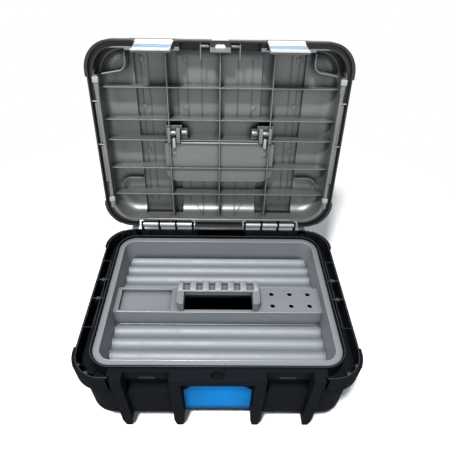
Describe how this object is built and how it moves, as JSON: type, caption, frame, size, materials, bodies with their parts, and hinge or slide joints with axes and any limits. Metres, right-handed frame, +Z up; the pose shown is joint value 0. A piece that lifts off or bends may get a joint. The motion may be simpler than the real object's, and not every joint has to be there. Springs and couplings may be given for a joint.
{
  "type": "hard tool case with lift-out tray",
  "caption": "Hard tool case with a hinged ribbed lid, swing latches, folding carry handle, padlock holes and a lift-out tray, shown open.",
  "frame": {"origin": "middle of the whole open case's footprint, on the plane its feet stand on", "axes": "+X to the case's right seen from the front, +Y to its back, +Z up"},
  "size_m": [0.486, 0.4828, 0.5406],
  "materials": {
    "tub": "moulded satin black",
    "lid": "metallic pewter grey",
    "tray": "metallic light grey",
    "handle": "moulded satin black",
    "knuckle": "satin grey",
    "latch": "brushed extrusion",
    "clip": "satin black",
    "steel": "bright steel",
    "label": "gloss printed sticker, plain"
  },
  "bodies": {
    "tub": {"base_tub": "tub", "front_label": "label", "hinge_pin_left": "steel", "hinge_pin_right": "steel"},
    "lid": {"lid_shell": "lid", "hinge_knuckle_left_1": "knuckle", "hinge_knuckle_left_2": "knuckle", "hinge_knuckle_left_3": "knuckle", "handle_pin_left": "steel", "latch_pin_left": "steel", "latch_clips_left": "clip", "hinge_knuckle_right_1": "knuckle", "hinge_knuckle_right_2": "knuckle", "hinge_knuckle_right_3": "knuckle", "handle_pin_right": "steel", "latch_pin_right": "steel", "latch_clips_right": "clip"},
    "carry_handle": {"carry_handle": "handle"},
    "latch_left": {"latch_plate_left": "latch"},
    "latch_right": {"latch_plate_right": "latch"},
    "tray": {"tool_tray": "tray", "tray_handle": "tray"}
  },
  "joints": [
    {"name": "lid_hinge", "type": "hinge", "parent": "tub", "child": "lid", "pos_m": [0, 0.12517, 0.1808], "axis": [1, 0, 0], "range_deg": [0, 102.35]},
    {"name": "handle_swing", "type": "hinge", "parent": "lid", "child": "carry_handle", "pos_m": [0, 0.19329, 0.37267], "axis": [1, 0, 0], "range_deg": [0, 95]},
    {"name": "latch_left_swing", "type": "hinge", "parent": "lid", "child": "latch_left", "pos_m": [-0.1164, 0.20184, 0.53469], "axis": [-1, 0, 0], "range_deg": [-4, 115]},
    {"name": "latch_right_swing", "type": "hinge", "parent": "lid", "child": "latch_right", "pos_m": [0.1164, 0.20184, 0.53469], "axis": [-1, 0, 0], "range_deg": [-4, 115]},
    {"name": "tray_lift", "type": "slide", "parent": "tub", "child": "tray", "axis": [0, 0, -1], "range_m": [-0.09, 0]}
  ]
}
